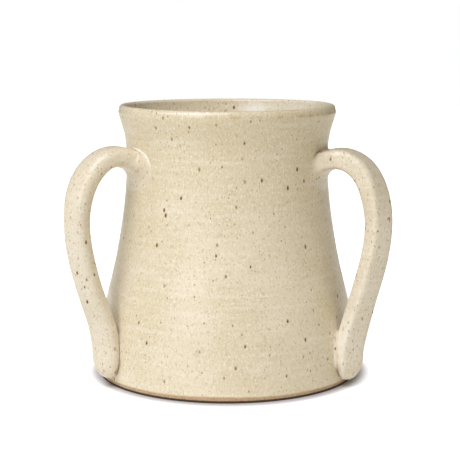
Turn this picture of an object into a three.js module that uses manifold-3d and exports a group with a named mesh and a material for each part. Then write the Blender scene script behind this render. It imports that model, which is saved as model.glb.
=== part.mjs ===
import * as THREE from 'three';
import { mergeVertices } from 'three/addons/utils/BufferGeometryUtils.js';
import Module from 'manifold-3d';

// A two-handled ritual hand-washing cup in speckled stoneware.
// Millimetres, +Z up, origin on the cup's axis in the plane that it stands on.
// The camera side of the cup is -Y, and both handles sit a little to that side.

const wasm = await Module();
wasm.setup();

// Thrown vessel: outside
const cupHeight = 127;
const footRadius = 61.1;
const footBevel = 0.9;
const waistRadius = 47.2;
const waistHeight = 101.6;
const rimRadius = 51;

// Thrown vessel: clay thickness
const wallThickness = 5;
const lipThickness = 3.8;
const lipBlendHeight = 16;
const floorThickness = 7;
const floorCornerRadius = 9;

// Outline below the waist, as pairs: share of the waist's height, share of the skirt's flare
const skirtShares = [
  [0.125, 0.982],
  [0.25, 0.888],
  [0.375, 0.701],
  [0.5, 0.474],
  [0.625, 0.286],
  [0.75, 0.138],
  [0.875, 0.037],
];

// Outline above the waist, as pairs: share of the way up to the lip, share of the throat's flare
const throatShares = [
  [0.54, 0.266],
  [0.864, 0.829],
];

// Pulled strap handles: the section is a rounded rectangle, a superellipse
const strapWidth = 11.7;
const strapThickness = 9.2;

// The root is spread wide, and narrows to the strap's own width along these lengths
const rootWidth = 15.6;
const rootSpreadStart = 6;
const rootSpreadEnd = 54;

// The strap starts level at the root, then its outer face turns towards the front along these lengths
const twistStart = 8;
const twistEnd = 45;

// The tail is pressed onto the skirt, so it widens and thins over a short rise, and its end is rounded
const tailThickness = 8.4;
const tailPressedRise = 32;
const tailEndHeight = 3.2;
const tailRoundLength = 7;
const tailTipShare = 0.4;

// Each handle's outline from root to tail, as pairs: share of its crown height, share of its reach
const leftHandle = {
  name: 'left_handle',
  rootDegrees: 206,
  tailDegrees: 213,
  twistDegrees: 33,
  squarenessPower: 2.7,
  tailWidth: 14,
  rootHeight: 101.5,
  crownHeight: 104.6,
  reach: 27.4,
  seatHeight: 17,
  pathShares: [
    [1, 0.415],
    [0.929, 0.823],
    [0.801, 1],
    [0.663, 0.956],
    [0.532, 0.789],
    [0.395, 0.522],
    [0.267, 0.262],
  ],
};
const rightHandle = {
  name: 'right_handle',
  rootDegrees: -24,
  tailDegrees: -30.5,
  twistDegrees: -24,
  squarenessPower: 3.3,
  tailWidth: 12.4,
  rootHeight: 101,
  crownHeight: 103.3,
  reach: 26.7,
  seatHeight: 16.5,
  pathShares: [
    [1, 0.37],
    [0.95, 0.783],
    [0.827, 1],
    [0.699, 0.995],
    [0.554, 0.829],
    [0.421, 0.58],
    [0.287, 0.324],
  ],
};

// Joint clay: slip behind each handle end, and the coil smoothed round it
const seatGap = 0.3;
const slipThickness = 0.8;
const coilFillet = 3;
const coilFlarePower = 2;
const coilEdge = 0.7;
const coilReach = 9;
const tailFillet = 2.4;
const tailCoilHeight = 2.6;
const tailCoilRise = 7;
const tailCoilEndHeight = 1.4;
const tailCoilRoundPower = 4;

// Fineness of the faceted surfaces
const turnSteps = 60;
const wallSteps = 16;
const lipSteps = 4;
const cornerSteps = 3;
const sectionSides = 16;
const strapSteps = 36;
const tipSteps = 5;
const coilSteps = 9;
const tailCoilSteps = 12;

// A cutter runs past what it cuts by this much
const overrun = 6;

const glaze = { color: 0xd9ccab, roughness: 0.38, metalness: 0 };
const handleGlaze = { color: 0xdfd3b8, roughness: 0.36, metalness: 0 };
const coilGlaze = { color: 0xd2c4a0, roughness: 0.42, metalness: 0 };

// Outside outline of the vessel
const lipRadius = lipThickness / 2;
const lipHeight = cupHeight - lipRadius;
const skirtFlare = footRadius - waistRadius;
const throatFlare = rimRadius - waistRadius;
const outlineKnots = [
  new THREE.Vector2(footRadius, footBevel),
  ...skirtShares.map(([up, out]) => new THREE.Vector2(waistRadius + out * skirtFlare, up * waistHeight)),
  new THREE.Vector2(waistRadius, waistHeight),
  ...throatShares.map(([up, out]) => new THREE.Vector2(
    waistRadius + out * throatFlare,
    THREE.MathUtils.lerp(waistHeight, lipHeight, up),
  )),
  new THREE.Vector2(rimRadius, lipHeight),
];
const outline = new THREE.SplineCurve(outlineKnots).getPoints(wallSteps);

function outerRadiusAt(height) {
  const above = outline.findIndex((point) => point.y >= height);
  if (above < 0) return outline.at(-1).x;
  if (above === 0) return outline[0].x;
  const low = outline[above - 1];
  const high = outline[above];
  return THREE.MathUtils.mapLinear(height, low.y, high.y, low.x, high.x);
}

function wallAt(height) {
  const blend = THREE.MathUtils.clamp((lipHeight - height) / lipBlendHeight, 0, 1);
  return THREE.MathUtils.lerp(lipThickness, wallThickness, blend);
}

function arcPoints(centre, radius, fromDegrees, toDegrees, steps) {
  return Array.from({ length: steps + 1 }, (_, step) => {
    const angle = THREE.MathUtils.degToRad(THREE.MathUtils.lerp(fromDegrees, toDegrees, step / steps));
    return new THREE.Vector2(centre.x + radius * Math.cos(angle), centre.y + radius * Math.sin(angle));
  });
}

// Turned solid from a profile of (radius, height) points that starts and ends on the axis
function turned(profile) {
  const geometry = new THREE.LatheGeometry(profile, turnSteps);
  geometry.rotateX(Math.PI / 2);
  return geometry;
}

// Shared vertices merged, and the flat triangles on the axis left out
const triangleCorners = 3;

function welded(geometry) {
  const bare = geometry.clone();
  bare.deleteAttribute('normal');
  bare.deleteAttribute('uv');
  const merged = mergeVertices(bare);
  const index = merged.index.array;
  const kept = [];
  for (let corner = 0; corner < index.length; corner += triangleCorners) {
    const [a, b, c] = index.subarray(corner, corner + triangleCorners);
    if (a !== b && b !== c && c !== a) kept.push(a, b, c);
  }
  merged.setIndex(kept);
  return merged;
}

function solidOf(geometry) {
  const merged = welded(geometry);
  return new wasm.Manifold(new wasm.Mesh({
    numProp: 3,
    vertProperties: new Float32Array(merged.attributes.position.array),
    triVerts: new Uint32Array(merged.index.array),
  }));
}

function geometryOf(solid) {
  const mesh = solid.getMesh();
  const geometry = new THREE.BufferGeometry();
  geometry.setAttribute('position', new THREE.BufferAttribute(mesh.vertProperties, mesh.numProp));
  geometry.setIndex(new THREE.BufferAttribute(mesh.triVerts, 1));
  geometry.computeVertexNormals();
  return geometry;
}

// The thrown wall and floor, one piece of clay
function vesselGeometry() {
  const cornerTop = floorThickness + floorCornerRadius;
  const innerWall = outline
    .filter((point) => point.y > cornerTop && point.y < lipHeight)
    .reverse()
    .map((point) => new THREE.Vector2(point.x - wallAt(point.y), point.y));
  const cornerRadial = outerRadiusAt(cornerTop) - wallAt(cornerTop) - floorCornerRadius;
  const cornerCentre = new THREE.Vector2(cornerRadial, cornerTop);
  const lipCentre = new THREE.Vector2(rimRadius - lipRadius, lipHeight);
  return turned([
    new THREE.Vector2(0, 0),
    new THREE.Vector2(footRadius - footBevel, 0),
    ...outline.slice(0, -1),
    ...arcPoints(lipCentre, lipRadius, 0, 180, lipSteps),
    ...innerWall,
    ...arcPoints(cornerCentre, floorCornerRadius, 0, -90, cornerSteps),
    new THREE.Vector2(0, floorThickness),
  ]);
}

// The vessel's outside, filled in and grown by a clearance, for cutting what sits against it
function vesselBlank(clearance) {
  return solidOf(turned([
    new THREE.Vector2(0, -overrun),
    new THREE.Vector2(footRadius + clearance, -overrun),
    ...outline.map((point) => new THREE.Vector2(point.x + clearance, point.y)),
    new THREE.Vector2(rimRadius + clearance, cupHeight + overrun),
    new THREE.Vector2(0, cupHeight + overrun),
  ]));
}

// A straight bar with a handle's rounded section, from -1 to 1 across and 0 to 1 along
function unitBar(handle, steps) {
  const section = new THREE.Shape(Array.from({ length: sectionSides }, (_, side) => {
    const angle = (side / sectionSides) * 2 * Math.PI;
    const [across, out] = [Math.cos(angle), Math.sin(angle)]
      .map((value) => Math.sign(value) * Math.abs(value) ** (2 / handle.squarenessPower));
    return new THREE.Vector2(across, out);
  }));
  return new THREE.ExtrudeGeometry(section, { depth: 1, steps, bevelEnabled: false });
}

// Where a handle stands round the cup's axis, which changes steadily from its tail to its root
function turnAt(handle, height) {
  const degrees = THREE.MathUtils.mapLinear(
    height, tailEndHeight, handle.crownHeight, handle.tailDegrees, handle.rootDegrees,
  );
  return THREE.MathUtils.degToRad(degrees);
}

// Bends a unit bar along a path of (radius, 0, height) points in the handle's upright plane.
// sizeAt gives, for a share of the bar's length, the path's share, how far past it, the half sizes
// and the turn of the section about the path.
function bent(bar, handle, path, sizeAt) {
  const geometry = bar.clone();
  const place = geometry.attributes.position;
  const vertex = new THREE.Vector3();
  for (let corner = 0; corner < place.count; corner += 1) {
    vertex.fromBufferAttribute(place, corner);
    const size = sizeAt(vertex.z);
    const centre = path.getPointAt(size.pathShare);
    const along = path.getTangentAt(size.pathShare);
    centre.addScaledVector(along, size.past);
    const section = new THREE.Vector2(
      vertex.x * size.halfWidth,
      vertex.y * (vertex.y > 0 ? size.outerHalf : size.innerHalf),
    );
    section.rotateAround(new THREE.Vector2(0, 0), -size.twist);
    const radius = centre.x - section.y * along.z;
    const height = centre.z + section.y * along.x;
    const across = section.x;
    const turn = turnAt(handle, height);
    place.setXYZ(
      corner,
      radius * Math.cos(turn) - across * Math.sin(turn),
      radius * Math.sin(turn) + across * Math.cos(turn),
      height,
    );
  }
  return geometry;
}

// The strap's centre line: out of the wall, over the crown, down and onto the skirt
const seatDepth = slipThickness + 2 * seatGap;
const seatStandoff = tailThickness / 2;

function strapPath(handle) {
  const wallPoint = (height, standoff) => (
    new THREE.Vector3(outerRadiusAt(height) + standoff, 0, height)
  );
  const midSeat = (handle.seatHeight + tailEndHeight) / 2;
  const knots = [
    wallPoint(handle.rootHeight, -wallThickness / 2),
    ...handle.pathShares.map(([up, out]) => wallPoint(up * handle.crownHeight, out * handle.reach)),
    wallPoint(handle.seatHeight, seatStandoff),
    wallPoint(midSeat, seatStandoff),
    wallPoint(tailEndHeight, seatStandoff),
  ];
  return new THREE.CatmullRomCurve3(knots, false, 'centripetal');
}

// The strap's half sizes and twist at a share of its path
function strapSection(handle, path, pathShare) {
  const reached = pathShare * path.getLength();
  const spread = THREE.MathUtils.smoothstep(reached, rootSpreadStart, rootSpreadEnd);
  const height = path.getPointAt(pathShare).z;
  const pressed = THREE.MathUtils.smoothstep(height, handle.seatHeight, handle.seatHeight + tailPressedRise);
  const width = THREE.MathUtils.lerp(rootWidth, strapWidth, spread);
  const twist = handle.twistDegrees * THREE.MathUtils.smoothstep(reached, twistStart, twistEnd);
  return {
    halfWidth: THREE.MathUtils.lerp(handle.tailWidth, width, pressed) / 2,
    halfThick: THREE.MathUtils.lerp(tailThickness, strapThickness, pressed) / 2,
    twist: THREE.MathUtils.degToRad(twist),
  };
}

// The raw strap, grown by a clearance, with its tail rounded off in width and thickness
function strapBar(handle, path, clearance) {
  const length = path.getLength();
  const tipStart = 1 - tailRoundLength / length;
  const bodySteps = strapSteps - tipSteps;
  return bent(unitBar(handle, strapSteps), handle, path, (barShare) => {
    const step = Math.round(barShare * strapSteps);
    const tipShare = Math.max(step - bodySteps, 0) / tipSteps;
    const pathShare = step <= bodySteps
      ? tipStart * step / bodySteps
      : tipStart + (1 - tipStart) * Math.sin(tipShare * Math.PI / 2);
    const fromTip = (1 - pathShare) * length / tailRoundLength;
    const inTip = 1 - Math.min(fromTip, 1);
    const round = Math.sqrt(1 - (1 - tailTipShare ** 2) * inTip ** 2);
    const section = strapSection(handle, path, pathShare);
    return {
      pathShare,
      past: step === strapSteps ? clearance : 0,
      halfWidth: section.halfWidth * round + clearance,
      outerHalf: section.halfThick * round + clearance,
      innerHalf: section.halfThick + clearance,
      twist: section.twist,
    };
  });
}

function handleSolid(handle, clearance) {
  const path = strapPath(handle);
  const raw = solidOf(strapBar(handle, path, clearance));
  return raw.subtract(vesselBlank(seatDepth - clearance));
}

// Slip behind the root with the coil flared round it
function upperCoilSolid(handle) {
  const path = strapPath(handle);
  const length = path.getLength();
  const edge = seatGap + coilEdge;
  const collar = bent(unitBar(handle, coilSteps), handle, path, (barShare) => {
    const reached = barShare * (coilReach + wallThickness / 2);
    const beyond = Math.max(reached - wallThickness / 2, 0) / coilReach;
    const growth = edge + coilFillet * (1 - beyond) ** coilFlarePower;
    const section = strapSection(handle, path, reached / length);
    return {
      pathShare: reached / length,
      past: 0,
      halfWidth: section.halfWidth + growth,
      outerHalf: section.halfThick + growth,
      innerHalf: section.halfThick + growth,
      twist: section.twist,
    };
  });
  return solidOf(collar).subtract(vesselBlank(seatGap)).subtract(handleSolid(handle, seatGap));
}

// Slip behind the tail with a low bank of clay along its sides and under its end
function lowerCoilSolid(handle) {
  const top = handle.seatHeight + tailCoilRise;
  const heights = Array.from({ length: tailCoilSteps + 1 }, (_, step) => (
    THREE.MathUtils.lerp(top, tailCoilEndHeight, step / tailCoilSteps)
  ));
  const path = new THREE.CatmullRomCurve3(
    heights.map((height) => new THREE.Vector3(outerRadiusAt(height), 0, height)), false, 'centripetal',
  );
  const bank = bent(unitBar(handle, tailCoilSteps), handle, path, (barShare) => {
    const fromMiddle = 2 * Math.abs(barShare - 1 / 2);
    const round = Math.sqrt(1 - (1 - tailTipShare ** 2) * fromMiddle ** tailCoilRoundPower);
    return {
      pathShare: barShare,
      past: 0,
      halfWidth: (handle.tailWidth / 2 + tailFillet) * round,
      outerHalf: tailCoilHeight * round,
      innerHalf: wallThickness / 2,
      twist: 0,
    };
  });
  return solidOf(bank).subtract(vesselBlank(seatGap)).subtract(handleSolid(handle, seatGap));
}

function namedMesh(name, geometry, finish) {
  const mesh = new THREE.Mesh(geometry, new THREE.MeshStandardMaterial(finish));
  mesh.name = name;
  return mesh;
}

const cup = new THREE.Group();
cup.add(namedMesh('thrown_vessel', welded(vesselGeometry()), glaze));
for (const handle of [leftHandle, rightHandle]) {
  const side = handle.name.split('_')[0];
  cup.add(namedMesh(handle.name, geometryOf(handleSolid(handle, 0)), handleGlaze));
  cup.add(namedMesh(`${side}_upper_joint_clay`, geometryOf(upperCoilSolid(handle)), coilGlaze));
  cup.add(namedMesh(`${side}_lower_joint_clay`, geometryOf(lowerCoilSolid(handle)), coilGlaze));
}

export default cup;
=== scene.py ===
# %% [markdown]
# # A two-handled washing cup in speckled stoneware
# The real cup is pottery: one thrown vessel, two pulled strap handles, and a little soft clay
# smoothed round each end of each handle. The measured model already holds every size and place,
# so this lesson only remakes the surfaces, each one closed and in the same spot, and then glazes them.

# %% Load the measured cup
import math
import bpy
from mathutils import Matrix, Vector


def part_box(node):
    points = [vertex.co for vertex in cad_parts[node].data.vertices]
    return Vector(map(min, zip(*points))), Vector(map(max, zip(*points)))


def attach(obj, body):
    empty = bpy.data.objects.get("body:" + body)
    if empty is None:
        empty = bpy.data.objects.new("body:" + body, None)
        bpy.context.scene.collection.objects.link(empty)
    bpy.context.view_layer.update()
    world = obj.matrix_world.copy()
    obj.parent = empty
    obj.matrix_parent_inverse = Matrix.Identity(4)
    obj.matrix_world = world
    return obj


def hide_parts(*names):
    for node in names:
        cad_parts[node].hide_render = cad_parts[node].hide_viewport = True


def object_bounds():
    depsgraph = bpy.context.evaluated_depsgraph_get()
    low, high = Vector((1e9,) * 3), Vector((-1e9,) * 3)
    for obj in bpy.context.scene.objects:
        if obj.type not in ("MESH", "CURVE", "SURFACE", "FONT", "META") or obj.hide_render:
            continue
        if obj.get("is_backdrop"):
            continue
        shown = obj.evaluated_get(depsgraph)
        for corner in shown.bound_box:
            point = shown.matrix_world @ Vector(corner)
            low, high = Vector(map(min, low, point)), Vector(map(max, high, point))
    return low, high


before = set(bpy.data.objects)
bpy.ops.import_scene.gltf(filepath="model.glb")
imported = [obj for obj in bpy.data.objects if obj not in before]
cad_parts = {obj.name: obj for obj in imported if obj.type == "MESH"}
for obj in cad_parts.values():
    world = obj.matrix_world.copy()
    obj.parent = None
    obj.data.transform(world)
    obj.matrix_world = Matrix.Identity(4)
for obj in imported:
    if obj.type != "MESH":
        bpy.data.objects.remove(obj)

from types import SimpleNamespace

import bmesh
import bpy
import numpy as np
from mathutils import Vector

bpy.context.view_layer.update()
cad_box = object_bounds()
foot_radius, _, vessel_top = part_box("thrown_vessel")[1]
mm = 0.001
print("measured box in mm:", [round(value / mm, 1) for corner in cad_box for value in corner])

# %% [markdown]
# ## The outline of the vessel
# A thrown pot is a turned form, so one outline gives all of its outside. It could be drawn by eye as
# a curve, but a list of shares of the pot's own sizes, joined by a smooth spline, follows the
# measured foot, waist and rim.

# %% Outline of the vessel
crest_rise = 0.3 * mm
cup_height = vessel_top + crest_rise
waist_radius = 47.2 * mm
waist_height = 101.6 * mm
rim_radius = 51.0 * mm
lip_thickness = 3.8 * mm
wall_thickness = 5.0 * mm
lip_blend = 16 * mm
floor_thickness = 7.0 * mm
floor_corner = 9.0 * mm
foot_lift = 0.2 * mm
foot_undercut = 0.7 * mm
outline_points = 400
lip_radius = lip_thickness / 2
lip_height = cup_height - lip_radius

# Pairs: share of the waist's height, share of the skirt's flare
skirt_shares = [
    (0, 1), (0.125, 0.982), (0.25, 0.888), (0.375, 0.701), (0.5, 0.474),
    (0.625, 0.286), (0.75, 0.138), (0.875, 0.037), (1, 0),
]
# Pairs: share of the way from waist to lip, share of the throat's flare
throat_shares = [(0.54, 0.266), (0.864, 0.829), (1, 1)]


def spline(knots, values, places):
    """Natural cubic curve through values at rising knots, read at the given places. It is a straight
    line with a share of the cubed distance from every knot added to it."""
    knots, values = np.asarray(knots, float), np.asarray(values, float)
    line = np.stack([np.ones_like(knots), knots])
    matrix = np.block([[np.abs(knots[:, None] - knots) ** 3, line.T], [line, np.zeros((2, 2))]])
    nought = np.zeros((2, *values.shape[1:]))
    *cubes, start, slope = np.linalg.solve(matrix, np.concatenate([values, nought]))
    bent = np.abs(places[:, None] - knots) ** 3 @ np.array(cubes)
    return bent + start + np.multiply.outer(places, slope)


outline_knots = [
    (up * waist_height, waist_radius + out * (foot_radius - waist_radius)) for up, out in skirt_shares
] + [
    (waist_height + up * (lip_height - waist_height), waist_radius + out * (rim_radius - waist_radius))
    for up, out in throat_shares
]
outline_heights = np.linspace(0, lip_height, outline_points)
outline_radii = spline(*zip(*outline_knots), outline_heights)
outline_slopes = np.gradient(outline_radii, outline_heights)


def outer_radius(height):
    return np.interp(height, outline_heights, outline_radii)


def outer_slope(height):
    return np.interp(height, outline_heights, outline_slopes)


print("the narrowest radius is", round(outline_radii.min() / mm, 2), "mm")

# %% [markdown]
# ## The maker's hand in the wall
# A hand-thrown wall is never quite round, and the fingers leave a faint rising spiral in it.
# Noise could shove every point about, but clay moves in long slow waves, so a few sine waves of
# turn and height say it better, and every other piece can ask for the same wavy wall.

# %% Waves in the thrown wall
out_of_round = 0.12 * mm
ring_depth = 0.035 * mm
ring_spacings = (3.3 * mm, 5.1 * mm, 8.3 * mm)
ring_shift = 2.1
# Each slow wave: bumps round the pot, start in radians, lean in radians a metre, share
slow_waves = [(2, 0.6, 9, 1.0), (3, -1.1, -14, 0.5)]


def thrown_waves(height, turn):
    """How far the wall stands off its true outline."""
    slow = sum(
        share * np.sin(bumps * turn + start + lean * height) for bumps, start, lean, share in slow_waves
    )
    rings = sum(
        np.sin(2 * math.pi * height / spacing + (1 + order) * turn + ring_shift * order)
        for order, spacing in enumerate(ring_spacings)
    )
    slow_total = sum(share for *_, share in slow_waves)
    return out_of_round * slow / slow_total + ring_depth * rings / len(ring_spacings)


def wall_radius(height, turn):
    return outer_radius(height) + thrown_waves(height, turn)


print("waves stand at most", round((out_of_round + ring_depth) / mm, 3), "mm off true")

# %% [markdown]
# ## A mesh from rings
# Pots, handles and coils of clay are all rings of points joined into tubes, so one helper makes
# them all. It joins rows of points into quads and closes both ends, or joins the last row to the
# first. The screw and skin modifiers would each do for one of these forms, but not for all.

# %% Helper that joins rings into a closed mesh
millilitre = 1000 * mm ** 3


def put_in_scene(name, data):
    made = bpy.data.objects.new(name, data)
    bpy.context.scene.collection.objects.link(made)
    return made


def ring_mesh(name, rows, closed=False):
    """Rows is an array (rows, points in a row, 3). Each row wraps round on itself."""
    points = rows.reshape(-1, 3)
    order = np.arange(len(points)).reshape(rows.shape[:2])
    if closed:
        order = np.vstack([order, order[:1]])
    order = np.hstack([order, order[:, :1]])
    corners = (order[:-1, :-1], order[:-1, 1:], order[1:, 1:], order[1:, :-1])
    faces = np.stack(corners, axis=-1).reshape(-1, 4).tolist()
    if not closed:
        first, last = len(points), len(points) + 1
        points = np.vstack([points, rows[0].mean(axis=0), rows[-1].mean(axis=0)])
        low, high = order[0].tolist(), order[-1].tolist()
        faces += [[first, after, point] for point, after in zip(low, low[1:])]
        faces += [[last, point, after] for point, after in zip(high, high[1:])]
    mesh = bpy.data.meshes.new(name)
    mesh.from_pydata(points.tolist(), [], faces)
    mesh.validate()
    mesh.shade_smooth()
    return put_in_scene(name, mesh)


def face_outwards(piece):
    """Turns the faces outwards, which makes the volume more than nought."""
    form = bmesh.new()
    form.from_mesh(piece.data)
    volume = form.calc_volume(signed=True)
    form.free()
    if volume < 0:
        piece.data.flip_normals()
    print(piece.name, len(piece.data.polygons), "faces,", round(abs(volume) / millilitre, 2), "ml")


print("pieces are measured in faces and millilitres")

# %% [markdown]
# ## Lip, wall and edge of the glaze
# The wall is drawn up from a thick floor to a rounded lip, which ends in a faint bead, where the
# potter's fingers let go of the clay, and is drawn in a little at its edge. The glaze stops just
# above the table, so that the cup doesn't stick to the kiln shelf, and the coat's own thickness
# makes a tiny step there. These details could be sculpted, but as small sums they can be changed.

# %% Lip, wall and edge of the glaze
wall_points = 256
turns = np.linspace(0, 2 * math.pi, wall_points, endpoint=False)
glaze_coat = 0.22 * mm
glaze_line = 2.5 * mm
glaze_line_wave = 0.3 * mm
# Each wave of the glaze's edge: bumps round the pot, start in radians, share
glaze_line_waves = [(3, 0.4, 0.6), (8, 2, 0.4)]
glaze_edge_slope = 0.16 * mm
steepest = 40
lip_bead = 0.2 * mm
lip_bead_drop, lip_bead_spread = 1.2 * mm, 1.7 * mm
lip_draw = 0.6 * mm
lip_draw_height = 2.6 * mm


def glaze_edge(turn):
    """Height of the glaze's wavy edge."""
    wave = sum(share * np.sin(bumps * turn + start) for bumps, start, share in glaze_line_waves)
    return glaze_line + glaze_line_wave * wave


def bare_share(height, turn):
    """One on bare clay, nought under glaze, with a slope between."""
    above = (height - glaze_edge(turn)) / glaze_edge_slope
    return 1 / (1 + np.exp(np.clip(above, -steepest, steepest)))


def wall_at(height):
    blend = np.clip((lip_height - height) / lip_blend, 0, 1)
    return lip_thickness + (wall_thickness - lip_thickness) * blend


def lip_shape(height):
    """How far the bead stands out, less how far the lip's edge is drawn in."""
    drop = lip_height - height
    bead = lip_bead * math.exp(-((drop - lip_bead_drop) / lip_bead_spread) ** 2)
    return bead - lip_draw * max(1 - drop / lip_draw_height, 0) ** 2


print("wall", wall_thickness / mm, "mm thick, lip", lip_thickness / mm, "mm")

# %% [markdown]
# ## The thrown vessel
# The profile runs from the middle of the underside, round the trimmed foot, up the outside, over the
# lip, down the inside and across the floor. A lathed curve would give a perfectly round pot, so each
# row of points goes round the wavy wall instead. The inside keeps faint rings of its own, and the
# underside the ridges of the trimming.

# %% Thrown vessel
rim_wave, rim_wave_start = 0.12 * mm, 1.2
underside_ridge, underside_ridge_spacing = 0.06 * mm, 2.2 * mm
standing_band = 3 * mm
foot_top = 6 * mm
foot_arc = 0.98
inner_ring_depth, inner_ring_spacing = 0.10 * mm, 6.5 * mm
floor_ring_depth, floor_ring_spacing = 0.15 * mm, 7 * mm
floor_ring_fade = 6 * mm
underside_hole, floor_hole = 3 * mm, 2 * mm
row_counts = dict(underside=56, foot_edge=9, foot=36, wall=208, lip=21, inside=150, corner=16, floor=50)


def ring_row(radius, height):
    radius, height = np.broadcast_arrays(radius, height, turns)[:2]
    return np.stack([radius * np.cos(turns), radius * np.sin(turns), height], axis=-1)


def even_steps(part, first, last):
    """Even steps over one part of the profile, but for the first."""
    return np.linspace(first, last, row_counts[part])[1:]


def thrown_rings(place, spacing):
    return np.sin(2 * math.pi * place / spacing + turns)


def outside_rows():
    """Over the underside, round the foot's edge and up to the lip."""
    rows = []
    standing_radius = foot_radius - foot_undercut
    for radius in np.linspace(underside_hole, standing_radius, row_counts["underside"]):
        lift = underside_ridge * (0.5 - 0.5 * np.cos(2 * math.pi * radius / underside_ridge_spacing))
        flat = radius > standing_radius - standing_band
        rows.append(ring_row(radius, 0 if flat else lift))
    edge = wall_radius(foot_lift, turns) - glaze_coat
    for share in even_steps("foot_edge", 0, 1):
        height = foot_lift * (1 - np.sqrt(1 - foot_arc * share ** 2))
        rows.append(ring_row(standing_radius + (edge - standing_radius) * share, height))
    for height in [*even_steps("foot", foot_lift, foot_top), *even_steps("wall", foot_top, lip_height)]:
        bare = bare_share(height, turns)
        rows.append(ring_row(wall_radius(height, turns) - glaze_coat * bare + lip_shape(height), height))
    return rows


def lip_rows():
    lift = rim_wave * np.sin(2 * turns + rim_wave_start)
    half_lip = (lip_thickness + lip_shape(lip_height)) / 2
    lip_middle = wall_radius(lip_height, turns) - lip_thickness + half_lip
    return [
        ring_row(lip_middle + half_lip * math.cos(angle),
                 lip_height + (lip_radius - rim_wave + lift) * math.sin(angle))
        for angle in even_steps("lip", 0, math.pi)
    ]


def inside_rows():
    """Down the inside of the wall, round the corner and over the floor."""
    rows = []
    corner_top = floor_thickness + floor_corner
    for height in even_steps("inside", lip_height, corner_top):
        fade = min((lip_height - height) / lip_blend, 1)
        rings = thrown_rings(height, inner_ring_spacing) * inner_ring_depth * fade
        rows.append(ring_row(wall_radius(height, turns) - wall_at(height) + rings, height))
    corner_centre = outer_radius(corner_top) - wall_at(corner_top) - floor_corner
    for angle in even_steps("corner", 0, math.pi / 2):
        rings = thrown_rings(corner_top, inner_ring_spacing) * inner_ring_depth * math.cos(angle)
        radius = corner_centre + floor_corner * math.cos(angle) + rings
        rows.append(ring_row(radius, corner_top - floor_corner * math.sin(angle)))
    for radius in even_steps("floor", corner_centre, floor_hole):
        rings = thrown_rings(radius, floor_ring_spacing) * floor_ring_depth * radius / corner_centre
        fade = min((corner_centre - radius) / floor_ring_fade, 1)
        rows.append(ring_row(radius, floor_thickness + rings * fade))
    return rows


vessel = ring_mesh("vessel_wall_and_floor", np.array(outside_rows() + lip_rows() + inside_rows()))
face_outwards(vessel)

# %% [markdown]
# ## The line that each strap follows
# A pulled handle is a tapering strap of clay that is bent over and pressed on. It could be a curve
# with a bevel, but here the strap has to start on the wall, thin towards its tail and end in a
# rounded tip, so its centre line is worked out first, in the upright plane that it stands in.
# The strap is spread where it leaves the wall, slims on its way down while its outer face turns a
# little to the front, and is pressed thinner and wider at the tail. All this is kept with the line.

# %% Centre lines of the two straps
strap_width = 11.7 * mm
strap_thickness = 9.2 * mm
root_width = 15.6 * mm
root_spread_start = 6 * mm
root_spread_end = 54 * mm
strap_wobble, strap_wobble_length = 0.012, 5.2 * mm
tail_thickness = 8.4 * mm
tail_end_height = 3.2 * mm
tail_pressed_rise = 32 * mm
tip_length = 12 * mm
line_points = 900
line_step = 0.25 * mm
line_lead = 14 * mm

# How far the line stands off the skirt at the seat, midway and at its end, in tail thicknesses
seat_shares = (0.5, 0.47, 0.25)
# Path shares are pairs: share of the crown's height, share of the reach
straps = {
    "left": SimpleNamespace(
        root_degrees=206, tail_degrees=212.6, twist_degrees=33, twist_span=(8 * mm, 45 * mm),
        squareness=2.5, tail_width=13.5 * mm,
        root_height=101.8 * mm, crown_height=105.0 * mm, reach=27.2 * mm, seat_height=15.5 * mm,
        tip_raise=1.4 * mm, girth=1.02,
        path_shares=[(1, 0.415), (0.929, 0.823), (0.801, 1), (0.663, 0.956),
                     (0.532, 0.789), (0.395, 0.522), (0.267, 0.262)],
    ),
    "right": SimpleNamespace(
        root_degrees=-24, tail_degrees=-32, twist_degrees=-33, twist_span=(15 * mm, 56 * mm),
        squareness=4.8, tail_width=12.3 * mm,
        root_height=101 * mm, crown_height=104.0 * mm, reach=26.5 * mm, seat_height=16.5 * mm,
        tip_raise=0.4 * mm, girth=0.955,
        path_shares=[(1, 0.365), (0.95, 0.77), (0.827, 0.99), (0.699, 0.995),
                     (0.554, 0.829), (0.421, 0.58), (0.287, 0.324)],
    ),
}


def unit(vectors):
    return vectors / np.linalg.norm(vectors, axis=-1, keepdims=True)


def smooth_step(value, low, high):
    share = np.clip((value - low) / (high - low), 0, 1)
    return share * share * (3 - 2 * share)


def run_so_far(points, power=1.0):
    """The run so far at each point of a line, from chords raised to a power."""
    chords = np.linalg.norm(np.diff(points, axis=0), axis=1)
    return np.concatenate([[0], np.cumsum(chords ** power)])


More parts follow.
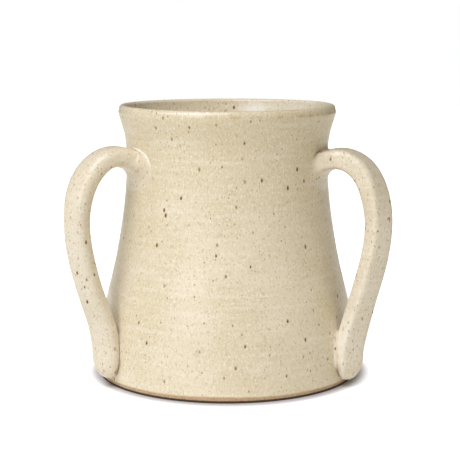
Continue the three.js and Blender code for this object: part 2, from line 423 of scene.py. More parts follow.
def draw_line(strap):
    """Adds the line. Its rows are the centre's radius and height, the direction's shares out and up,
    half the width, half the thickness and the twist."""
    end_height = tail_end_height + strap.tip_raise
    seat_heights = (strap.seat_height, (strap.seat_height + end_height) / 2, end_height)
    knots = [(strap.root_height, -wall_thickness / 2)]
    knots += [(up * strap.crown_height, out * strap.reach) for up, out in strap.path_shares]
    knots += [(height, share * tail_thickness) for height, share in zip(seat_heights, seat_shares)]
    points = np.array([(outer_radius(height) + standoff, height) for height, standoff in knots])
    places = run_so_far(points, power=0.5)
    fine = spline(places, points, np.linspace(0, places[-1], line_points))
    lengths = run_so_far(fine)
    strap.length = lengths[-1]
    along = np.arange(-line_lead, strap.length + line_lead, line_step)
    centre = np.stack([np.interp(along, lengths, fine[:, axis]) for axis in (0, 1)], axis=-1)
    centre += np.outer(np.minimum(along, 0), unit(fine[1] - fine[0]))
    centre += np.outer(np.maximum(along - strap.length, 0), unit(fine[-1] - fine[-2]))
    pressed = smooth_step(centre[:, 1], strap.seat_height, strap.seat_height + tail_pressed_rise)
    spread = smooth_step(along, root_spread_start, root_spread_end)
    wobble = 1 + strap_wobble * np.sin(along / strap_wobble_length + strap.root_height / mm)
    width = root_width + (strap_width - root_width) * spread
    width = strap.tail_width + (width - strap.tail_width) * pressed
    thickness = tail_thickness + (strap_thickness - tail_thickness) * pressed
    girth = 1 + (strap.girth - 1) * pressed * spread
    halves = width / 2 * wobble * girth, thickness / 2 / wobble * girth
    twist = math.radians(strap.twist_degrees) * smooth_step(along, *strap.twist_span)
    direction = unit(np.gradient(centre, along, axis=0))
    strap.along, strap.line = along, np.array([*centre.T, *direction.T, *halves, twist])


for side, strap in straps.items():
    draw_line(strap)
    print(side, "strap is", round(strap.length / mm, 1), "mm long")

# %% [markdown]
# ## Two questions to ask of a strap
# Where is the point that lies so far along, across and out of a strap, and how far is any point
# from the strap's skin? The first question makes the strap's mesh, and the second finds where the
# soft clay of the joints runs. The section is a superellipse, between an oval and a rounded box, as
# fingers leave a pulled strap, and its power says how square it is.

# %% Questions to ask of a strap
least_section = 1e-6


def turn_of(points):
    """Each point's turn round the cup's axis, in radians."""
    return np.arctan2(points[:, 1], points[:, 0])


def strap_turn(strap, height):
    """The handle's turn round the cup, which changes steadily with height."""
    share = (height - tail_end_height) / (strap.crown_height - tail_end_height)
    return np.radians(strap.tail_degrees + share * (strap.root_degrees - strap.tail_degrees))


def spun(first, second, angle):
    """Two sizes at right angles, as seen after a turn by that angle."""
    return first * np.cos(angle) + second * np.sin(angle), second * np.cos(angle) - first * np.sin(angle)


def strap_point(strap, length, across, out):
    """The point so far along, across and out, where across and out are shares of the half sizes."""
    radius, height, *direction, half_width, half_thick, twist = (
        np.interp(length, strap.along, row) for row in strap.line)
    across, out = spun(across * half_width, out * half_thick, twist)
    direction = unit(np.stack(direction, axis=-1))
    radius = radius - out * direction[..., 1]
    height = height + out * direction[..., 0]
    y, x = spun(across, radius, strap_turn(strap, height))
    return np.stack([x, y, height], axis=-1)


def strap_distance(strap, points, part):
    """Rough distance from points to the strap's skin, below zero inside it."""
    radius, across = spun(points[:, 0], points[:, 1], strap_turn(strap, points[:, 2]))
    chosen = np.flatnonzero((strap.along > part[0]) & (strap.along < part[1]))
    place = np.stack([radius, points[:, 2]])
    nearest = chosen[((place[..., None] - strap.line[:2, None, chosen]) ** 2).sum(axis=0).argmin(axis=1)]
    centre, direction = strap.line[:2, nearest], strap.line[2:4, nearest]
    half_width, half_thick, twist = strap.line[4:, nearest]
    offset = place - centre
    length = strap.along[nearest] + (offset * direction).sum(axis=0)
    out = offset[1] * direction[0] - offset[0] * direction[1]
    flat_out, flat_across = spun(out, across, twist)
    tip = np.maximum(length - (strap.length - tip_length), 0) / tip_length
    power = strap.squareness
    sizes = np.stack([np.abs(flat_across) / half_width, np.abs(flat_out) / half_thick])
    section = np.maximum((sizes ** power).sum(axis=0), least_section) ** (1 / power)
    slopes = sizes ** (power - 1) / np.stack([half_width, half_thick])
    section_slope = section ** (2 - power) * np.hypot(*slopes)
    value = np.hypot(section, tip)
    return (value - 1) * value / np.hypot(section_slope, tip / tip_length)


def wall_distance(points):
    """Distance from points to the wall's outside, below zero inside it."""
    heights = points[:, 2]
    beyond = np.hypot(points[:, 0], points[:, 1]) - wall_radius(heights, turn_of(points))
    return beyond / np.hypot(1, outer_slope(heights))


def halve(inside, near, far, rounds=26):
    """Halves the stretch between near, which is inside, and far, which isn't, till they meet."""
    for _ in range(rounds):
        middle = (near + far) / 2
        kept = inside(middle)
        near, far = np.where(kept, middle, near), np.where(kept, far, middle)
    return near


for side, strap in straps.items():
    outer_face = strap_point(strap, np.array([strap.length / 2]), 0, 1)[0]
    print(side, "strap's outer face, half way along:", np.round(outer_face / mm, 1), "mm")

# %% [markdown]
# ## The pulled straps
# Each strap starts a millimetre under the wall's skin, so that no slot can show at its root, and
# each line of points along it starts at its own length, because the wall cuts the strap at a slant.
# The tail swings down onto the skirt and ends like a thumb, where the rings shrink along a quarter
# of a circle while the line bends in to the wall.

# %% Pulled straps
section_points = 72
section_turns = np.linspace(0, 2 * math.pi, section_points, endpoint=False)
root_depth = 1.0 * mm
body_rings, tip_rings = 230, 22


def rounded(value, power):
    """Cosine or sine of a turn, pushed out to the superellipse of that power."""
    return np.sign(value) * np.abs(value) ** (2 / power)


def strap_rows(strap):
    power = strap.squareness
    across, out = rounded(np.cos(section_turns), power), rounded(np.sin(section_turns), power)
    start = halve(
        lambda length: wall_distance(strap_point(strap, length, across, out)) < -root_depth,
        np.full(section_points, -line_lead), np.full(section_points, line_lead),
    )
    tip_start = strap.length - tip_length
    rows = [
        strap_point(strap, start + (tip_start - start) * share, across, out)
        for share in np.linspace(0, 1, body_rings)
    ]
    for turn in np.linspace(0, math.pi / 2, tip_rings + 1)[1:-1]:
        length = np.full(section_points, tip_start + tip_length * math.sin(turn))
        rows.append(strap_point(strap, length, across * math.cos(turn), out * math.cos(turn)))
    return np.array(rows)


for side, strap in straps.items():
    strap.piece = ring_mesh(f"{side}_pulled_strap", strap_rows(strap))
    face_outwards(strap.piece)

# %% [markdown]
# ## Where a strap meets the wall
# The potter scores both faces, brushes on slip, presses the strap home and smooths a thin coil of
# soft clay into the angle. A bevel modifier can't do that between two separate pieces, so each
# joint is made by measure. First comes the line where the strap's skin meets the wall: rays run
# over the wall from the joint's middle, and each one is halved till it ends on the skin.

# %% Line where a strap meets the wall
joint_points = 160
joint_rays = 720
widest_search, lowest_search, flattest_ray = 30 * mm, 1.2 * mm, 0.05


def on_wall(turn, height):
    radius = wall_radius(height, turn)
    return np.stack([radius * np.cos(turn), radius * np.sin(turn), height], axis=-1)


def pressed_to_wall(points):
    return on_wall(turn_of(points), points[:, 2])


def wall_normal(points):
    turn = turn_of(points)
    return unit(np.stack([np.cos(turn), np.sin(turn), -outer_slope(points[:, 2])], axis=-1))


def meeting_line(strap, height, part):
    """Where the strap's skin meets the wall, as evenly spaced points, and each one's direction."""
    turn = strap_turn(strap, height)
    radius = outer_radius(height)

    def ray_end(angle, length):
        return on_wall(turn + length * np.cos(angle) / radius, height + length * np.sin(angle))

    def meet(angle):
        down = np.maximum(-np.sin(angle), flattest_ray)
        far = np.minimum((height - lowest_search) / down, widest_search)
        return halve(lambda length: strap_distance(strap, ray_end(angle, length), part) < 0, 0 * angle, far)

    angles = np.linspace(0, 2 * math.pi, joint_rays + 1)
    loop = ray_end(angles, meet(angles))
    run = run_so_far(loop)
    angles = np.interp(np.linspace(0, run[-1], joint_points, endpoint=False), run, angles)
    return ray_end(angles, meet(angles)), angles


def root_middle(strap):
    """Height at which the centre line comes out of the wall."""
    near = strap.along < line_lead
    radii, heights = strap.line[:2, near]
    return np.interp(0, radii - outer_radius(heights), heights)


for side, strap in straps.items():
    print(side, "strap leaves the wall", round(root_middle(strap) / mm, 1), "mm up")

# %% [markdown]
# ## The soft clay of the joints
# Round that line the fillet's skin is where a smooth minimum of the distances to the wall and to
# the strap is nought, which runs tangent into both. The ring closes out of sight, inside the strap
# and the wall. Where the clay wasn't smoothed down it bulges and meets the wall in a crease. Where
# glaze pools is stored here too, and so are the crease's darker tone, partly glaze pooled darker
# and partly painted shade, and a painted glint along the crease.

# %% Ring of joint clay
fillet_steps = 12
foot_ring = 2
hidden_dip = 0.03 * mm
hidden_depth = 0.6 * mm
seam_run = 0.7 * mm
furthest_inside, inside_blends, search_blends = 4 * mm, 3, 9
past_chord = 1.5
smallest_blend = 0.45 * mm
# Creases tighter than this are darkened, partly as pooled glaze and partly as painted shade
widest_crease, crease_range = 1.4 * mm, 0.6 * mm
# Width of the painted glint along the foot of each fillet
glint_width = 0.45 * mm
pooled_power, crease_glaze_and_shade_reach, glint_reach = 0.7, 1.5, 1.7
overlap_knots = 3
plain = (0,) * 8


def smooth_minimum(first, second, blend):
    overlap = np.maximum(blend - np.abs(first - second), 0)
    return np.minimum(first, second) - overlap ** 2 / (4 * blend)


def store(piece, name, values):
    """Stores one number for each point of a piece, which its finish can read."""
    attribute = piece.data.attributes.new(name, "FLOAT", "POINT")
    attribute.data.foreach_set("value", np.asarray(values, dtype=np.float32))


def all_round(values, angles):
    """A smooth value at each angle, from values that stand evenly round the joint."""
    knots = np.arange(-overlap_knots, len(values) + overlap_knots + 1)
    return spline(knots, np.take(values, knots, mode="wrap"), angles * len(values) / (2 * math.pi))


def joint_clay(name, strap, height, part, blends, fullness=plain, thick=plain):
    """A ring of clay round one end of a strap. Its sizes, how far it bulges before it meets the
    wall in a crease, and how strong a painted glint runs along that crease are given evenly round it."""
    line, angles = meeting_line(strap, height, part)
    normal = wall_normal(line)
    tangent = unit(np.roll(line, -1, axis=0) - np.roll(line, 1, axis=0))
    outward = unit(np.cross(tangent, normal))
    outward *= np.sign((outward * (line - line.mean(axis=0))).sum(axis=-1))[:, None]
    blend = np.maximum(all_round(blends, angles) * mm, smallest_blend)
    full = np.maximum(all_round(fullness, angles), 0)

    def find(place, level, near, far):
        """The place of a run at which the distance from the strap comes to a level."""
        return place(halve(lambda run: strap_distance(strap, place(run), part) < level, near, far))

    def wall_side(reach, depth):
        def place(run):
            return pressed_to_wall(line + run[:, None] * outward)
        return find(place, reach, 0 * reach, search_blends * reach) - depth * normal

    def strap_side(rise, depth):
        def place(run):
            return line + rise[:, None] * normal + run[:, None] * outward
        near = -np.minimum(inside_blends * rise, furthest_inside)
        return find(place, -depth, near, search_blends * rise)

    foot, top = wall_side(blend, 0), strap_side(blend, 0)
    rings = [wall_side(blend + 2 * seam_run, hidden_depth), wall_side(blend + seam_run, hidden_dip), foot]
    for share in np.linspace(0, 1, fillet_steps + 1)[1:-1]:
        chord = foot + (top - foot) * share

        def place(run):
            return line + run[:, None] * (chord - line)

        def buried(run):
            points = place(run)
            both = smooth_minimum(wall_distance(points), strap_distance(strap, points, part), blend)
            return both < 0
        run = halve(buried, 0 * blend, past_chord + 0 * blend)
        rings.append(place(run + full * (1 - share) * np.maximum(1 - run, 0)))
    rings += [top, strap_side(blend + seam_run, hidden_dip), strap_side(blend + 2 * seam_run, hidden_depth)]
    rings.append(line - 2 * hidden_depth * normal - hidden_depth * outward)
    piece = ring_mesh(name, np.array(rings).transpose(1, 0, 2), closed=True)
    from_foot = np.arange(len(rings)) - foot_ring
    middle = np.abs(from_foot - fillet_steps / 2) / (fillet_steps / 2)
    store(piece, "pooled", np.tile(np.clip(1 - middle, 0, 1) ** pooled_power, joint_points))
    # Tight creases darken: partly glaze pooled darker there, partly painted shade
    tight = np.clip((widest_crease - blend) / crease_range, 0, 1)
    store(piece, "crease", np.outer(tight, np.clip(crease_glaze_and_shade_reach - middle, 0, 1)).ravel())
    # A painted glint: a thin pale line along the foot of the fillet, as strong as thick says
    width = np.linalg.norm(top - foot, axis=-1)[:, None] / fillet_steps
    in_line = np.clip(glint_reach - np.abs(from_foot) * width / glint_width, 0, 1)
    thick = np.clip(all_round(thick, angles), 0, 1)
    store(piece, "painted_light", (thick[:, None] * in_line).ravel())
    face_outwards(piece)
    return piece


print("two distances of 1 mm, blended over 1 mm, make", smooth_minimum(1, 1, 1), "mm")

# %% [markdown]
# ## Four joints
# Each joint was smoothed by hand, so its fillet is broad on one side and tight on another. Values
# stand evenly round it as seen on the wall: first towards a rising turn, then above, a falling one
# and below. Blends are in millimetres, the rest are shares.

# %% Four joints
root_part_length, tail_part_length = 24 * mm, 48 * mm
# Thick gives the strength of the painted glint along each joint's crease
joints = {
    "left_root": dict(
        blends=(5.6, 2.4, 1.2, 1, 1, 1, 1.2, 3, 7, 8.5, 9.5, 9, 8.5, 8, 7.5, 7),
        fullness=(1.2, 1.6, 1.6, 1.2, 1, 0.6, 0.3, 0, 0, 0, 0, 0, 0, 0, 0, 0.3),
        thick=(0.5, 1, 1, 0.9, 0.8, 0.5, 0.2, 0, 0, 0, 0, 0, 0, 0, 0, 0)),
    "right_root": dict(blends=(6.5, 3.4, 1.6, 0.8, 2, 5.5, 7.5, 7.5)),
    "left_tail": dict(
        blends=(0.9, 0.9, 0.8, 0.9, 1.2, 1.2, 1.1, 1, 1, 1, 1, 0.8, 0.8, 0.8, 0.8, 0.8),
        thick=(0, 0, 0.5, 0.7, 0, 0, 0, 0, 0, 0, 0, 0, 0, 0, 0, 0)),
    "right_tail": dict(
        blends=(1.2, 1.2, 1.2, 1.4, 2, 1.7, 1.5, 1.4, 1.2, 0.9, 0.7, 0.6, 0.8, 1, 1.1, 1.2),
        thick=(0, 0, 0, 0, 0, 0.6, 1, 0.9, 0.5, 0, 0, 0, 0, 0, 0, 0)),
}
for side, strap in straps.items():
    root_part = (-line_lead, root_part_length)
    strap.upper = joint_clay(
        f"{side}_root_coil", strap, root_middle(strap), root_part, **joints[f"{side}_root"])
    tail_middle = (strap.seat_height + tail_end_height) / 2
    tail_part = (strap.length - tail_part_length, strap.length + line_lead)
    strap.lower = joint_clay(
        f"{side}_tail_coil", strap, tail_middle, tail_part, **joints[f"{side}_tail"])

# %% [markdown]
# ## Where the coat is missing, thin or full of specks, and where light and shade are painted
# The potter wipes the glaze off the foot, so a narrow band of toasted clay shows above the table
# and the underside is bare, and the edge that the cup stands on is painted dark as a contact
# shadow. The clay's brown shows through where the glaze runs thin: on the crest of the lip, under
# its bead and along the lower edges of the handles' crowns. Pale painted highlights lie on the
# bead's front, inside the wall and down the right tail, painted light lifts the shade inside the
# wall, and brown specks crowd together at the lip and near the roots. Painted masks would have
# to be drawn by hand, so these shares are worked out from each point's place.

# %% Mark the coat's thin and speckled places, and its painted light and shade
thin_crest, thin_crest_share = 0.35 * mm, 0.35
thin_drop, thin_spread = 2.9 * mm, 0.5 * mm
thin_left, thin_right, thin_left_share = -25 * mm, 15 * mm, 0.15
thin_edge_shares = {"left": 0.5, "right": 1.0}
thin_edge_turns = {"left": 315, "right": 225}
thin_edge_spread = 11
crowded_outside, crowded_inside = 5 * mm, 14 * mm
crowded_root, crowded_strap = 1, 0.6
# Patches of painted highlight: share, drop from the top and its spread, turn in degrees and its spread
bead_highlight = (0.95, 1.5 * mm, 0.3 * mm, -112, 16)
inside_highlight = (0.5, 5 * mm, 1.8 * mm, 73, 9)
# Broad painted light inside the wall, lifting its shade: share, turn and its spread
inside_light_sheets = [(0.22, 40, 30), (0.14, 148, 20)]
# Painted light over all the inside near the top
inside_light_base = 0.07
# Painted highlight on each tail's face towards the light
tail_highlight_shares = {"left": 0, "right": 0.35}
facing_gain, facing_start = 1.6, 0.5
# Shares of the way down a strap, between which each mark comes or goes
crowd_goes, crown_ends, highlight_comes = (0, 0.25), (0.2, 0.36), (0.7, 0.84)
# Painted contact shadow on the edge that the cup stands on
foot_shadow_height, foot_shadow_width = 1.25 * mm, 1.6 * mm
foot_shadow_edge = 0.3 * mm

places = np.empty(len(vessel.data.vertices) * 3)
vessel.data.vertices.foreach_get("co", places)
places = places.reshape(-1, 3)
heights = places[:, 2]
from_top = cup_height - heights
from_axis = np.hypot(places[:, 0], places[:, 1])
outside = from_axis > outer_radius(heights) - lip_radius
degrees = np.degrees(turn_of(places))


def patch(place, middle, spread):
    """One in the middle, fading to nought on both sides."""
    return np.exp(-((place - middle) / spread) ** 2)


def light_patch(share, drop, drop_spread, turn, turn_spread):
    return share * patch(from_top, drop, drop_spread) * patch(degrees, turn, turn_spread)


def store_on_strap(strap, name, along, around):
    """Stores a share for each ring times a share for each place round the section."""
    store(strap.piece, name, np.concatenate([np.outer(along, around).ravel(), [0, 0]]))


bare = bare_share(heights, turn_of(places))
store(vessel, "bare_clay", bare)
under_bead = outside * patch(from_top, thin_drop, thin_spread)
to_right = smooth_step(places[:, 0], thin_left, thin_right)
under_bead *= thin_left_share + (1 - thin_left_share) * to_right
store(vessel, "thin_glaze", thin_crest_share * patch(from_top, 0, thin_crest) + under_bead)
crowded_depth = np.where(outside, crowded_outside, crowded_inside)
store(vessel, "crowded", np.clip(1 - from_top / crowded_depth, 0, 1))
# Painted light inside the wall, and painted highlights on the bead and inside
inner_lift = inside_light_base + sum(share * patch(degrees, turn, spread) for share, turn, spread in inside_light_sheets)
inner_lift *= np.clip(2 - from_top / crowded_inside, 0, 1)
inner_light = np.clip(light_patch(*inside_highlight) + inner_lift, 0, 1)
store(vessel, "painted_light", np.where(outside, light_patch(*bead_highlight), inner_light))
# Painted contact shadow along the standing edge
foot_shadow = np.clip((foot_shadow_height - heights) / foot_shadow_edge, 0, 1)
from_edge = foot_radius - from_axis
store(vessel, "painted_foot_shadow", foot_shadow * np.clip((foot_shadow_width - from_edge) / foot_shadow_edge, 0, 1))

strap_rings = body_rings + tip_rings - 1
down = np.arange(strap_rings) / strap_rings
crowd = crowded_strap + (crowded_root - crowded_strap) * (1 - smooth_step(down, *crowd_goes))
on_crown = 1 - smooth_step(down, *crown_ends)
on_tail = smooth_step(down, *highlight_comes)
towards_light = np.clip(-facing_gain * np.cos(section_turns) - facing_start, 0, 1)
for side, strap in straps.items():
    lower_edge = patch(np.degrees(section_turns), thin_edge_turns[side], thin_edge_spread)
    store_on_strap(strap, "crowded", crowd, np.ones(section_points))
    # Painted highlight down the tail's face towards the light
    store_on_strap(strap, "painted_light", tail_highlight_shares[side] * on_tail, towards_light)
    store_on_strap(strap, "thin_glaze", thin_edge_shares[side] * on_crown, lower_edge)
print("points on bare clay:", int((bare > 0.5).sum()), "of", len(places))

# %% [markdown]
# ## Helpers for materials
# Every finish here is a net of shader nodes that looks at the point's own place on the cup, so the
# glaze runs on unbroken from wall to joint to strap, with no seams and no image files. A tree of
# nodes is laid on the bench, and short helpers put nodes in it and join them up, so that each
# finish reads as a recipe.

# %% Helpers for materials
bench = SimpleNamespace(tree=None)


def feed(made, inputs):
    """Sets a node's inputs, or joins them to the outputs that feed them."""
    for socket, value in inputs.items():
        if isinstance(value, bpy.types.NodeSocket):
            bench.tree.links.new(value, made.inputs[socket])
        else:
            made.inputs[socket].default_value = value


def node(kind, inputs=(), **settings):
    """Puts a shader node in the tree on the bench, feeds it and gives back its outputs."""
    made = bench.tree.nodes.new("ShaderNode" + kind)
    for name, value in settings.items():
        setattr(made, name, value)
    feed(made, dict(inputs))
    return made.outputs


def maths(operation, first, second=0.0):
    return node("Math", {0: first, 1: second}, operation=operation)[0]


def slide(value, low, high, to_low=0.0, to_high=1.0):
    """Takes a value from one range over to another, eased at both ends."""
    limits = {"Value": value, "From Min": low, "From Max": high, "To Min": to_low, "To Max": to_high}
    return node("MapRange", limits, interpolation_type="SMOOTHSTEP")["Result"]


def stored(name):
    return node("Attribute", attribute_name=name)["Fac"]


def lay(colour, tone, *shares):
    """Lays a tone over a colour, as strongly as the shares say when they are multiplied. In the
    mixing node, inputs 6 and 7 are the two colours, and output 2 is what they make."""
    share = shares[0]
    for other in shares[1:]:
        share = maths("MULTIPLY", share, other)
    return node("Mix", {0: share, 6: colour, 7: tone}, data_type="RGBA")[2]


def new_material(name):
    """A material, with its tree now on the bench, and its shader."""
    material = bpy.data.materials.new(name)
    material.use_nodes = True
    bench.tree = material.node_tree
    return material, bench.tree.nodes["Principled BSDF"]


def paint(red, green, blue):
    """A colour as a screen gives it, from 0 to 255, turned into light by the sRGB rule."""
    shares = np.array([red, green, blue]) / 255
    light = np.where(shares <= 0.04045, shares / 12.92, ((shares + 0.055) / 1.055) ** 2.4)
    return (*light.tolist(), 1.0)


def noise(place, grain, detail=3.0, roughness=0.5):
    inputs = {"Vector": place, "Scale": 1 / grain, "Detail": detail, "Roughness": roughness}
    return node("TexNoise", inputs)[0]


def mottling(place, starts, full, least=0.0, most=1.0, **grain):
    """Noise that rises from least, where it starts, to most, where it is full."""
    return slide(noise(place, **grain), starts, full, least, most)


print("white paint as light:", [round(value, 3) for value in paint(255, 255, 255)])

# %% [markdown]
# ## Iron specks
# Grains of iron in the clay melt up through the glaze and leave brown specks, a few as big as a
# millimetre and very many as fine as dust. A Voronoi texture scatters one point in each cell of
# space, and its colour output gives each cell random numbers, so one recipe at several cell sizes
# gives every speck its own size and strength. The biggest ones have run a little, so they are
# taller than wide, with a soft tan halo above a dark core.

# %% Iron specks
few_big = 1.6


def specks(place, spacing, radii, strengths, softness=0.6):
    """How strongly a point is specked, from 0 to 1. Radii and strengths give the least and most."""
    cells = node("TexVoronoi", {"Vector": place, "Scale": 1 / spacing})
    chance = node("SeparateColor", {0: cells["Color"]})
    spread = maths("POWER", chance[0], few_big)
    radius = slide(spread, 0.0, 1.0, *(radius / spacing for radius in radii))
    inner = maths("MULTIPLY", radius, 1 - softness)
    mask = slide(cells["Distance"], radius, inner)
    return maths("MULTIPLY", mask, slide(chance[1], 0.0, 1.0, *strengths))


print("a power of", few_big, "makes big specks rarer than small ones")

# %% [markdown]
# ## The ground of the glaze
# The coat is a satin cream of uneven thickness, so its colour drifts slowly between cream and a
# warmer sand, and the upper part is painted sandier and darker, as painted shade. Over that come
# fine mottling, faint bands from the turning of the wheel, a warmer tone where the coat is thin
# or pooled, darker creases that are partly painted shade, and painted highlights. The handles
# were dipped apart and took a slightly paler, greyer coat.

# %% Ground of the glaze
cream = paint(234, 221, 195)
warm_sand = paint(219, 203, 167)
pale_bloom = paint(247, 238, 222)
grey_mottle = paint(200, 186, 150)
thin_tone = paint(184, 148, 98)
pooled_tone = paint(206, 187, 148)
# Dark crease tone: partly glaze pooled darker, partly painted shade
crease_glaze_and_shade_tone = paint(120, 86, 46)
# Near white, for painted highlights and for painted light that lifts shade
painted_light_tone = paint(255, 253, 246)
halo_tone = paint(176, 134, 68)
dust_tone = paint(170, 146, 92)
speck_tone = paint(98, 58, 12)
clay_tone = paint(204, 176, 140)
toasted_tone = paint(164, 130, 94)
# Painted contact shadow
foot_shadow_tone = paint(46, 28, 20)
crowd_tone = paint(152, 108, 50)
handle_veil = paint(238, 231, 222)
top_shade_start, top_shade_end, top_shade_share = 40 * mm, 110 * mm, 0.7
pooled_share, crease_glaze_and_shade_share, foot_shadow_share = 0.25, 0.7, 0.95
drift_share = 0.7
band_squash = 14


def moved(place, operation, *amounts):
    """The place multiplied by, or added to, three amounts."""
    return node("VectorMath", {0: place, 1: amounts}, operation=operation)[0]


def ground_colour(place, run_place, veil):
    """The glaze before its specks."""
    drift = mottling(place, grain=26 * mm, starts=0.35, full=0.68)
    colour = lay(cream, warm_sand, drift, drift_share)
    height = node("SeparateXYZ", {0: place})["Z"]
    # Painted shade: darker, sandier towards the top
    colour = lay(colour, warm_sand, slide(height, top_shade_start, top_shade_end, 0.0, top_shade_share))
    squashed = moved(place, "MULTIPLY", 1, 1, band_squash)
    bands = mottling(squashed, grain=30 * mm, starts=0.45, full=0.75, most=0.35)
    colour = lay(colour, pale_bloom, bands)
    fine = dict(roughness=0.75, starts=0.5, most=0.9)
    grey = mottling(run_place, grain=1.0 * mm, detail=4.0, full=0.7, **fine)
    colour = lay(colour, grey_mottle, grey)
    colour = lay(colour, pale_bloom, mottling(run_place, grain=0.7 * mm, full=0.68, **fine))
    colour = lay(colour, handle_veil, veil)
    thin = mottling(place, grain=4 * mm, detail=4.0, roughness=0.65, starts=0.42, full=0.62, most=0.75)
    colour = lay(colour, thin_tone, stored("thin_glaze"), thin)
    colour = lay(colour, pooled_tone, stored("pooled"), pooled_share)
    # Tight creases of the joints: partly darker pooled glaze, partly painted shade
    colour = lay(colour, crease_glaze_and_shade_tone, stored("crease"), crease_glaze_and_shade_share)
    # Painted highlights, and painted light that lifts the shade inside the wall
    return lay(colour, painted_light_tone, stored("painted_light"))


print("cream as light:", [round(value, 3) for value in cream[:3]])

# %% [markdown]
# ## The speckled glaze and the bare clay
# The kinds of specks lie over the ground, from dust to the big ones, and bare clay takes over where
# the glaze was wiped off. Roughness and bump follow the same shares, so that the clay is dry and
# gritty, the specks are matt and a little sunk, and the glaze has an orange-peel skin under a tenth
# of a millimetre deep. The handles show more fine specks than the wall.

# %% Speckled glaze and bare clay
speck_stretch = 0.62
big_spacing = 3.9 * mm
core_drop = 0.16 * mm
satin_least, satin_most = 0.30, 0.40
pit_depth = -0.6
bump_depth = 0.05 * mm
glass_index = 1.5


def glaze_colour(place, veil, crowd_spacing, least_crowded):
    run_place = moved(place, "MULTIPLY", 1, 1, speck_stretch)
    low_place = moved(run_place, "ADD", 0, 0, core_drop)
    colour = ground_colour(place, run_place, veil)
    cluster = mottling(place, grain=7 * mm, starts=0.35, full=0.62, least=0.35)
    dust = specks(run_place, 1.1 * mm, radii=(0.14 * mm, 0.42 * mm), strengths=(0.15, 0.8))
    colour = lay(colour, dust_tone, dust, cluster)
    small = specks(run_place, 2.4 * mm, radii=(0.25 * mm, 0.5 * mm), strengths=(0.3, 1.0), softness=0.55)
    colour = lay(colour, halo_tone, small, cluster)
    crowd = specks(run_place, crowd_spacing, radii=(0.3 * mm, 0.6 * mm), strengths=(0.3, 0.9))
    crowded = maths("MAXIMUM", stored("crowded"), least_crowded)
    colour = lay(colour, crowd_tone, crowd, crowded)
    halo = specks(run_place, big_spacing, radii=(0.4 * mm, 0.88 * mm), strengths=(0.4, 0.9))
    core = specks(low_place, big_spacing, radii=(0.25 * mm, 0.76 * mm), strengths=(0.35, 1.0))
    return lay(lay(colour, halo_tone, halo), speck_tone, core), core


def clay_colour(place):
    grain = mottling(place, grain=0.7 * mm, detail=4.0, roughness=0.7, starts=0.35, full=0.7)
    colour = lay(clay_tone, toasted_tone, grain)
    # Painted contact shadow on the standing edge
    return lay(colour, foot_shadow_tone, stored("painted_foot_shadow"), foot_shadow_share)


def speckled_glaze(name, veil, matt, crowd_spacing, least_crowded=0.0):
    """Veil is the share of the paler coat, and matt is what the coat's roughness is multiplied by.
    The specks that crowd together stand about so far apart, and are at least so strong."""
    material, shader = new_material(name)
    place = node("TexCoord")["Object"]
    bare = stored("bare_clay")
    glaze, core = glaze_colour(place, veil, crowd_spacing, least_crowded)
    least, most = satin_least * matt, satin_most * matt
    satin = mottling(place, grain=5 * mm, starts=0.3, full=0.7, least=least, most=most)
    glossy = slide(stored("crowded"), low=0.1, high=0.6, to_low=1.0, to_high=0.55)
    speck_matt = slide(core, low=0.2, high=0.9, to_low=0.3, to_high=0.6)
    clay_matt = slide(bare, low=0.2, high=0.8, to_high=0.85)
    coat_matt = maths("MAXIMUM", maths("MULTIPLY", satin, glossy), speck_matt)
    grit = maths("MULTIPLY", noise(place, grain=0.35 * mm, roughness=0.7), bare)
    peel = noise(place, grain=1.7 * mm, detail=2.0, roughness=0.45)
    skin = maths("ADD", maths("ADD", peel, grit), maths("MULTIPLY", core, pit_depth))
    feed(shader, {
        "Base Color": lay(glaze, clay_colour(place), bare),
        "Roughness": maths("MAXIMUM", coat_matt, clay_matt),
        "Normal": node("Bump", {"Height": skin, "Distance": bump_depth})[0],
        "IOR": glass_index,
    })
    print(name, "has", len(bench.tree.nodes), "nodes")
    return material


vessel_glaze = speckled_glaze("vessel_glaze", veil=0.0, matt=1.0, crowd_spacing=2.2 * mm)
handle_glaze = speckled_glaze("handle_glaze", veil=0.25, matt=1.1, crowd_spacing=1.7 * mm)
joint_glaze = speckled_glaze(
    "joint_glaze", veil=0.25, matt=0.5, crowd_spacing=1.7 * mm, least_crowded=0.9)
vessel.data.materials.append(vessel_glaze)
for strap in straps.values():
    strap.piece.data.materials.append(handle_glaze)
    strap.upper.data.materials.append(joint_glaze)
    strap.lower.data.materials.append(joint_glaze)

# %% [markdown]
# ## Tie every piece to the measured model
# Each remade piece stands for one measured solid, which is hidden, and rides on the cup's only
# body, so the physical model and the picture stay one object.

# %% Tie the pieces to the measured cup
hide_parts("thrown_vessel")
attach(vessel, "root")
for side, strap in straps.items():
    ties = [
        (strap.piece, f"{side}_handle", "handle_glaze"),
        (strap.upper, f"{side}_upper_joint_clay", "joint_glaze"),
        (strap.lower, f"{side}_lower_joint_clay", "joint_glaze"),
    ]
    for piece, solid, slot in ties:
        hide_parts(solid)
        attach(piece, "root")
        print(piece.name, "stands for", solid)

# %% [markdown]
# ## Floor and light
# The cup stands on a matt white floor that catches its shadow. Away from the cup more and more
# white is added, only for the camera and for reflections, so that the background is clean and the
# cup isn't lit by it. One broad soft light stands in front, high and to the left, a small weak one
# stands lower beside it for the soft glints, and a plain pale room fills the shadows from all
# round, more from the front than from behind.

# %% Floor, room and light
white = (1.0, 1.0, 1.0, 1.0)
room_colour = (1.0, 0.94, 0.8, 1.0)
floor_size = 4.0
room_strength = 0.285
front_and_back = (1.7, 0.4)
room_in_reflections = 0.42
near_edge, near_end = 61.5 * mm, 70.2 * mm
white_shift = -0.5 * mm
shiny_lift = 0.4
floor_matt = 0.9
lit_floor, seen_floor = paint(247, 246, 240), paint(200, 197, 198)


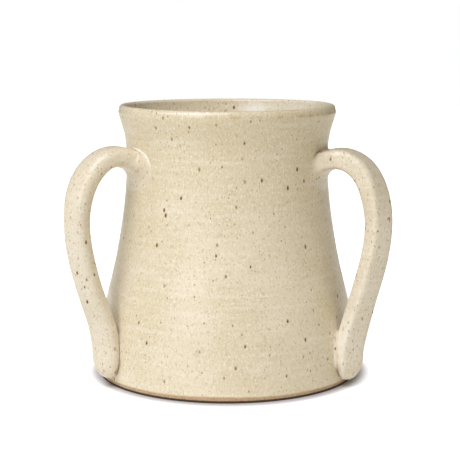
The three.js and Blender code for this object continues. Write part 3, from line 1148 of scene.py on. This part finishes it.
def floor_paint():
    material, shader = new_material("white_floor")
    rays = node("LightPath")
    place = moved(node("TexCoord")["Object"], "ADD", white_shift, 0, 0)
    from_cup = node("VectorMath", {0: place}, operation="LENGTH")["Value"]
    # One for rays from the camera, less in reflections, nought for the rays that light the cup
    shiny = maths("MULTIPLY", rays["Is Glossy Ray"], shiny_lift)
    background = maths("MAXIMUM", rays["Is Camera Ray"], shiny)
    feed(shader, {
        "Base Color": lay(lit_floor, seen_floor, rays["Is Camera Ray"]),
        "Roughness": floor_matt,
        "Specular IOR Level": 0.0,
        "Emission Color": white,
        "Emission Strength": maths("MULTIPLY", background, slide(from_cup, near_edge, near_end)),
    })
    return material


bpy.ops.mesh.primitive_plane_add(size=floor_size)
floor = bpy.context.object
floor.name = "floor"
floor.data.materials.append(floor_paint())
floor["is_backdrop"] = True

room = bpy.data.worlds.new("white_room")
bpy.context.scene.world = room
room.use_nodes = True
bench.tree = room.node_tree
rays = node("LightPath")
way = node("TexCoord")["Generated"]
back_or_front = node("SeparateXYZ", {0: way})["Y"]
front = slide(back_or_front, -1.0, 1.0, *front_and_back)
shiny = maths("MULTIPLY", rays["Is Glossy Ray"], room_in_reflections - room_strength)
lighting = maths("MULTIPLY", maths("ADD", shiny, room_strength), front)
feed(bench.tree.nodes["Background"], {
    "Color": lay(room_colour, white, rays["Is Camera Ray"]),
    "Strength": maths("MAXIMUM", rays["Is Camera Ray"], lighting),
})

day_white = (0.885, 0.915, 1.0)
cup_middle = Vector((0, 0, 0.06))


def softbox(name, place, size, power):
    """A square soft light of so many watts that looks at the cup."""
    lamp = bpy.data.lights.new(name, "AREA")
    lamp.size = size
    lamp.energy = power
    lamp.color = day_white
    holder = put_in_scene(name, lamp)
    holder.location = place
    direction = cup_middle - Vector(place)
    holder.rotation_euler = direction.to_track_quat("-Z", "Y").to_euler()
    print(name, "stands", round(direction.length, 2), "m away")


softbox("key_light", place=(-0.96, -1.16, 2.50), size=1.6, power=54)
softbox("front_fill", place=(-0.67, -0.98, 0.58), size=0.3, power=2.6)

# %% [markdown]
# ## The camera
# A long lens from a little above table height keeps the sides nearly upright. Its place and tilt
# were worked out from the ellipses of the rim and the foot.

# %% Camera
camera_distance = 624.5 * mm
camera_height = 165.2 * mm
camera_pitch = 8.889
camera_turn = -0.12
lens, sensor_width = 104.0, 36

camera_data = bpy.data.cameras.new("camera")
camera_data.lens, camera_data.sensor_width = lens, sensor_width
camera = put_in_scene("camera", camera_data)
camera.location = (0, -camera_distance, camera_height)
camera.rotation_euler = (math.radians(90 - camera_pitch), 0, math.radians(camera_turn))
print("camera stands", round(camera.location.length, 3), "m from the cup's foot")
bpy.context.scene.camera = camera
bpy.context.scene.view_settings.view_transform = "Standard"

# %% [markdown]
# ## Both boxes
# The remade cup is meant to stay in the measured cup's box, so both boxes are printed.

# %% Print both boxes
visual_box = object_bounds()
boxes = {"measured": [list(corner) for corner in cad_box], "visual": [list(corner) for corner in visual_box]}
for name, corners in boxes.items():
    print(name, "box in mm:", [round(value / mm, 2) for corner in corners for value in corner])
